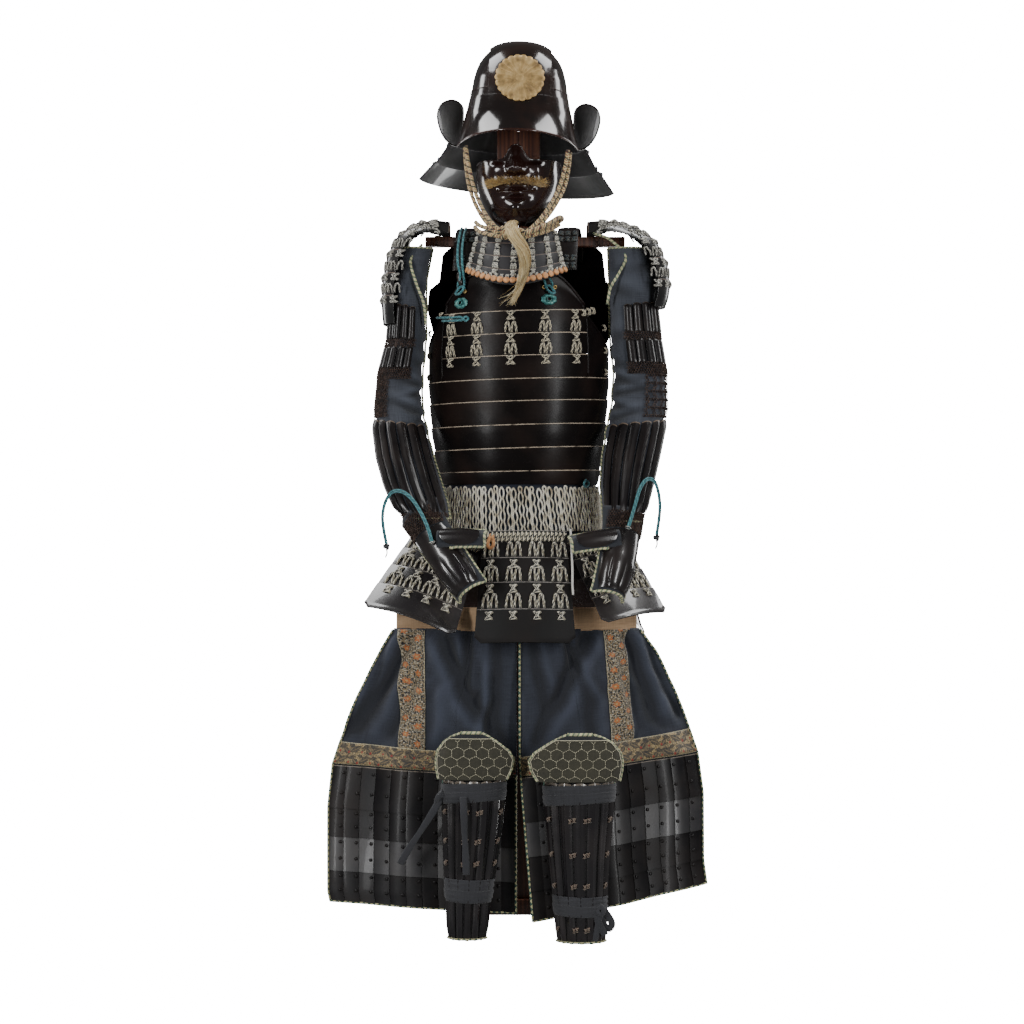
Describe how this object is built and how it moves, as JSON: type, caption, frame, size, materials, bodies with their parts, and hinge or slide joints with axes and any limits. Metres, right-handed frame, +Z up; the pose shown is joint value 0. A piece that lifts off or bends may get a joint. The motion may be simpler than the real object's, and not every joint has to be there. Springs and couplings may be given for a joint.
{
  "type": "samurai armour on a display stand",
  "caption": "Samurai armour laid out on a wooden stand: lacquered helmet, half mask, laced cuirass with tassets, splinted sleeves, plated thigh apron and shin guards.",
  "frame": {"origin": "on the floor under the middle of the set", "axes": "+Z up, the wearer would face -Y, so the wearer's right side is -X"},
  "size_m": [0.6928, 0.4667, 1.6339],
  "materials": {
    "stand_wood": "dark satin varnish",
    "helmet_lacquer": "gloss brown-black lacquer with fine scratches",
    "crest_gilt": "dull gilt",
    "chin_cord": "braided cord in cream, red and yellow",
    "mask_lacquer": "gloss russet-black lacquer",
    "moustache_bristle": "stiff golden bristle",
    "beard_horsehair": "fine pale horsehair",
    "lame_lacquer": "gloss black lacquer, worn bright at the edges",
    "strap_leather": "lacquered leather",
    "waist_lacing": "close vertical cords, cream flecked with navy",
    "tasset_lacquer": "lacquer worn grey-brown, glossy",
    "indigo_hemp": "plain weave indigo hemp",
    "splint_lacquer": "gloss lacquer on iron splints",
    "apron_plates": "small black lacquered plates",
    "brocade": "figured brocade, dull gold ground",
    "belt_hemp": "plain tan hemp",
    "wrist_cord": "braided teal cord",
    "waist_cord": "braided off-white cord",
    "knee_cloth": "quilted olive-brown cloth",
    "shin_tie": "dark grey cotton tape"
  },
  "bodies": {
    "root": {"stand_base": "stand_wood", "stand_frame": "stand_wood", "helmet_bowl": "helmet_lacquer", "helmet_visor": "helmet_lacquer", "neck_guard": "helmet_lacquer", "helmet_ear_right": "helmet_lacquer", "helmet_ear_left": "helmet_lacquer", "helmet_crest": "crest_gilt", "chin_cord": "chin_cord", "face_mask": "mask_lacquer", "moustache": "moustache_bristle", "beard": "beard_horsehair", "throat_guard": "lame_lacquer", "chest_lames": "lame_lacquer", "chest_plate": "lame_lacquer", "belly_lames": "lame_lacquer", "back_lames": "lame_lacquer", "back_plate": "lame_lacquer", "side_plate_right": "lame_lacquer", "side_plate_left": "lame_lacquer", "shoulder_strap_right": "strap_leather", "shoulder_strap_left": "strap_leather", "waist_lacing": "waist_lacing", "tasset_front": "tasset_lacquer", "tasset_front_right": "tasset_lacquer", "tasset_front_left": "tasset_lacquer", "tasset_side_right": "tasset_lacquer", "tasset_side_left": "tasset_lacquer", "tasset_back_right": "tasset_lacquer", "tasset_back_left": "tasset_lacquer", "sleeve_right": "indigo_hemp", "sleeve_left": "indigo_hemp", "thigh_cloth_right": "indigo_hemp", "thigh_cloth_left": "indigo_hemp", "upper_arm_splints_right": "splint_lacquer", "upper_arm_splints_left": "splint_lacquer", "forearm_splints_right": "splint_lacquer", "forearm_splints_left": "splint_lacquer", "hand_guard_right": "splint_lacquer", "hand_guard_left": "splint_lacquer", "shoulder_guard_right": "splint_lacquer", "shoulder_guard_left": "splint_lacquer", "shin_plates_right": "splint_lacquer", "shin_plates_left": "splint_lacquer", "thigh_plates_right": "apron_plates", "thigh_plates_left": "apron_plates", "brocade_strip_right": "brocade", "brocade_strip_left": "brocade", "brocade_band_right": "brocade", "brocade_band_left": "brocade", "waistband": "belt_hemp", "wrist_cord_right": "wrist_cord", "wrist_cord_left": "wrist_cord", "waist_cord": "waist_cord", "knee_cap_right": "knee_cloth", "knee_cap_left": "knee_cloth", "upper_tie_right": "shin_tie", "upper_tie_left": "shin_tie", "lower_tie_right": "shin_tie", "lower_tie_left": "shin_tie"}
  },
  "joints": []
}
